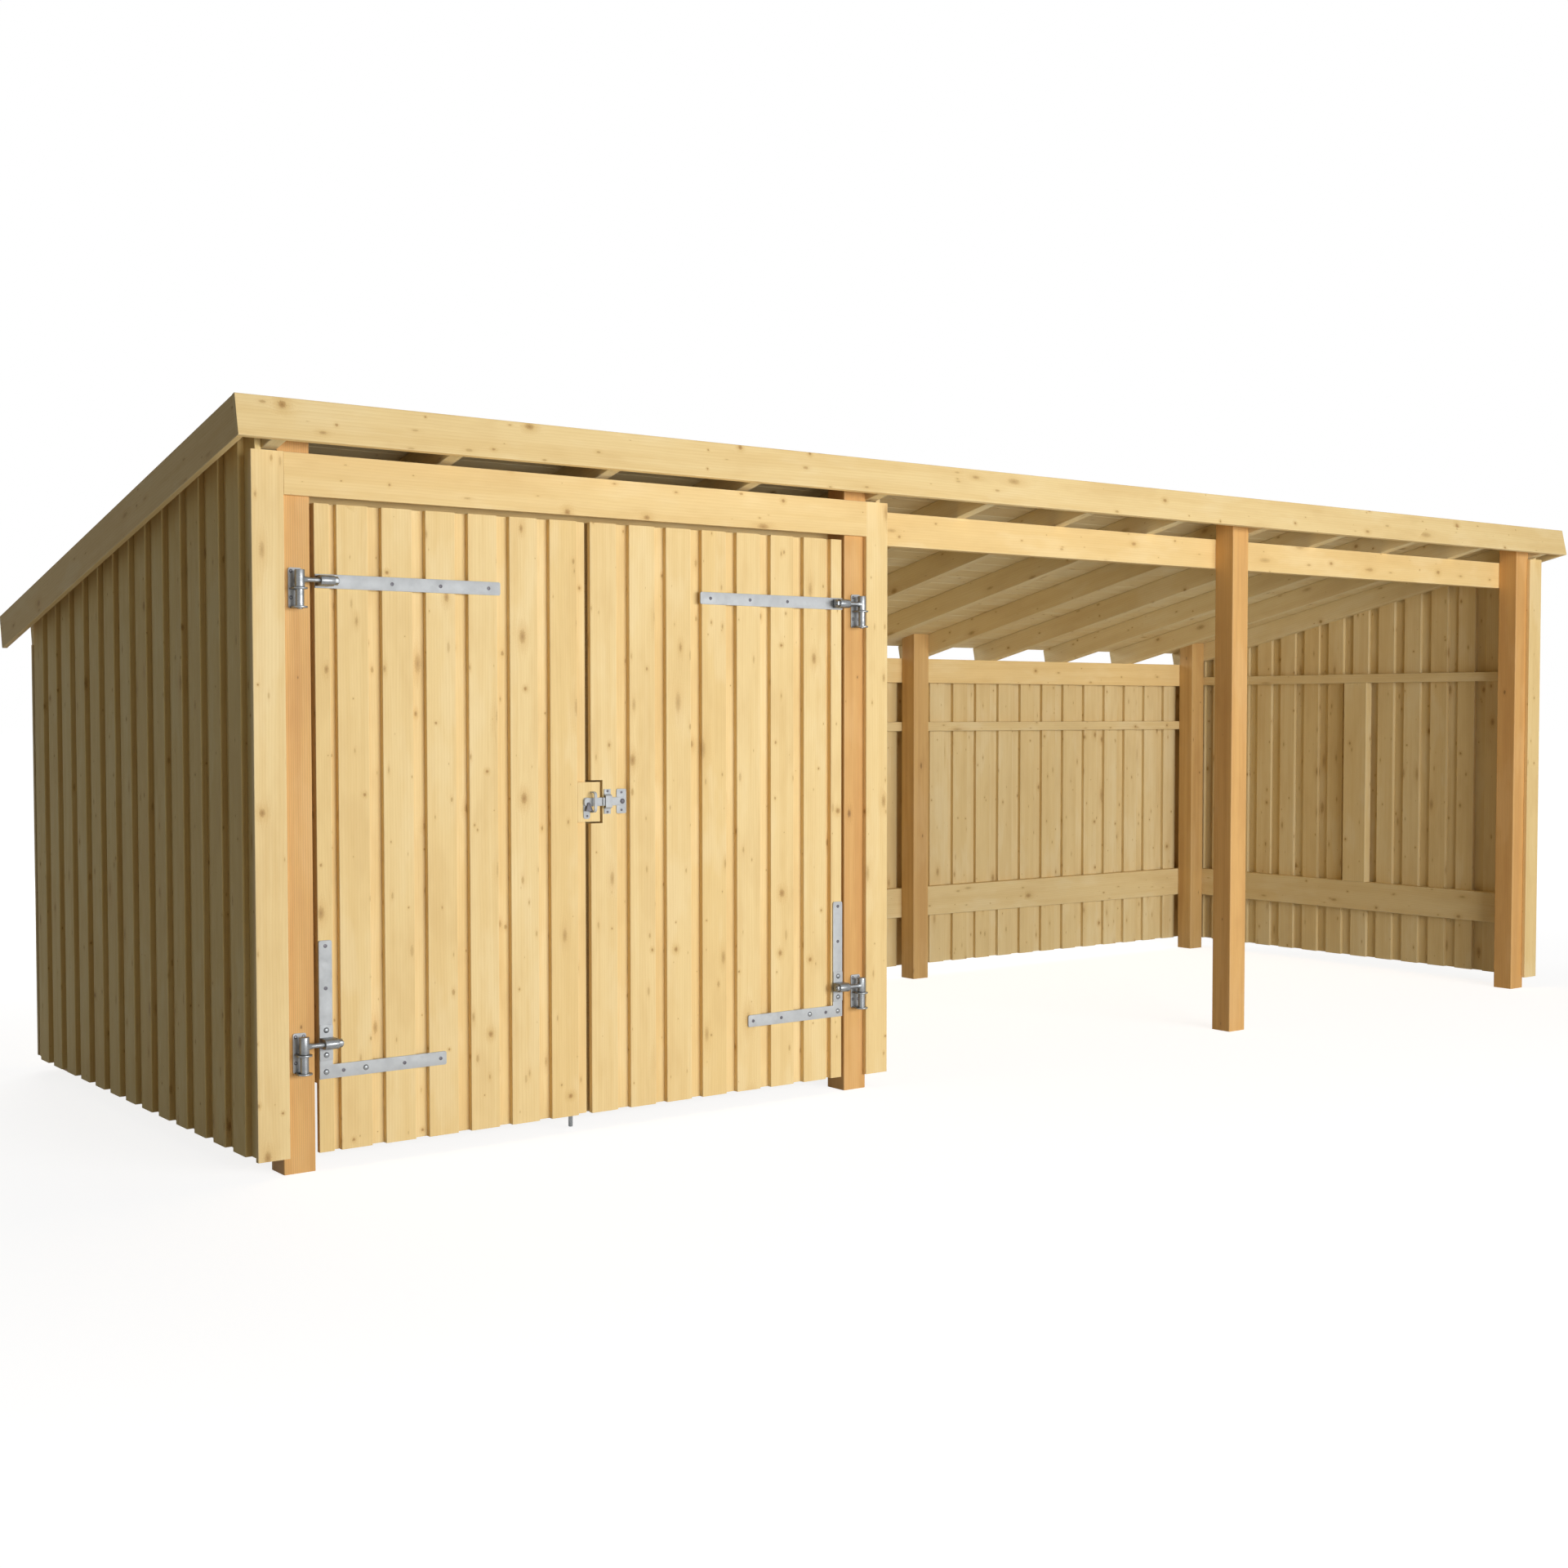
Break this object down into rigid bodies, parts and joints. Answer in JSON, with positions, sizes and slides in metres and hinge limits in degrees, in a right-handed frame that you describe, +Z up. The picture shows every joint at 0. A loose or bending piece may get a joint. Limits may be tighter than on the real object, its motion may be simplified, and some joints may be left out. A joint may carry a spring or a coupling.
{
  "type": "open-front garden shed",
  "caption": "Open-front timber garden shed: a closed store behind a pair of strap-hinged board doors, open bays beside it, under one lean-to roof that falls to the back.",
  "frame": {"origin": "middle of the roof's outline in plan, on the ground under the posts", "axes": "+Z up, +X along the front from the doors to the open bays, +Y from front to back"},
  "size_m": [6.4876, 2.3602, 2.1879],
  "materials": {
    "spruce": "planed, untreated",
    "post_wood": "planed, brown impregnated",
    "felt": "mineral felt",
    "galvanised_steel": "galvanised"
  },
  "bodies": {
    "root": {"front_post_1": "post_wood", "front_post_2": "post_wood", "front_post_3": "post_wood", "front_post_4": "post_wood", "back_post_1": "post_wood", "back_post_2": "post_wood", "back_post_3": "post_wood", "back_post_4": "post_wood", "front_beam": "spruce", "back_beam": "spruce", "rafters": "spruce", "roof_deck": "spruce", "front_fascia": "spruce", "left_fascia": "spruce", "right_fascia": "spruce", "left_wall_boards": "spruce", "right_wall_boards": "spruce", "partition_boards": "spruce", "back_wall_boards": "spruce", "left_wall_rails": "spruce", "right_wall_rails": "spruce", "partition_rails": "spruce", "back_wall_rails": "spruce", "left_trim": "spruce", "middle_trim": "spruce", "right_trim": "spruce", "door_header": "spruce", "roof_felt": "felt", "left_pintles": "galvanised_steel", "right_pintles": "galvanised_steel"},
    "left_door": {"left_door_boards": "spruce", "left_door_ledges": "spruce", "keeper_block": "spruce", "left_upper_strap": "galvanised_steel", "left_corner_strap": "galvanised_steel", "left_eye_bolts": "galvanised_steel", "bolt_keeper": "galvanised_steel", "drop_bolt": "galvanised_steel"},
    "right_door": {"right_door_boards": "spruce", "right_door_ledges": "spruce", "meeting_board": "spruce", "right_upper_strap": "galvanised_steel", "right_corner_strap": "galvanised_steel", "right_eye_bolts": "galvanised_steel", "slide_bolt": "galvanised_steel"}
  },
  "joints": [
    {"name": "left_door_swing", "type": "hinge", "parent": "root", "child": "left_door", "pos_m": [-3.045, -1.11016, 0], "axis": [0, 0, -1], "range_deg": [0, 170]},
    {"name": "right_door_swing", "type": "hinge", "parent": "root", "child": "right_door", "pos_m": [-1.015, -1.11016, 0], "axis": [0, 0, 1], "range_deg": [0, 170]}
  ]
}
